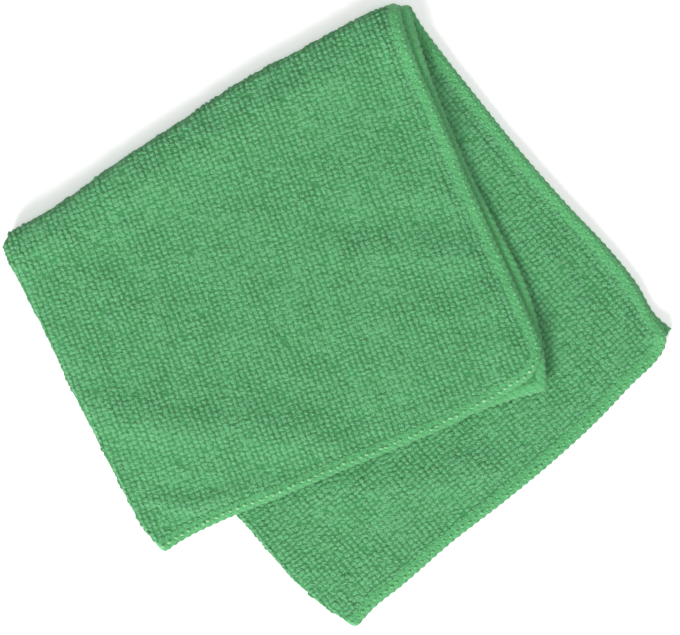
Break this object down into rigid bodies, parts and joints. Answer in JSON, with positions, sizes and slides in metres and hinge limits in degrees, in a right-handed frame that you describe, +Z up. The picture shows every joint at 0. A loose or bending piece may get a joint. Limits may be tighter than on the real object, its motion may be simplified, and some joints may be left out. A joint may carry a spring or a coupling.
{
  "type": "microfibre cloth",
  "caption": "Square terry microfibre cloth with an overlocked hem, folded in half and then across, lying flat with its lower layers fanned out past the upper ones, for wiping and dusting.",
  "frame": {"origin": "on the surface that the cloth lies on, under the middle of the folded cloth's box", "axes": "+Z up, through the layers; +X right and +Y away as the folded cloth is looked down on, with its cross fold at the upper left"},
  "size_m": [0.304, 0.2834, 0.0144],
  "materials": {
    "microfibre": "matt, soft terry of short fine loops"
  },
  "bodies": {
    "root": {"cloth": "microfibre"}
  },
  "joints": []
}
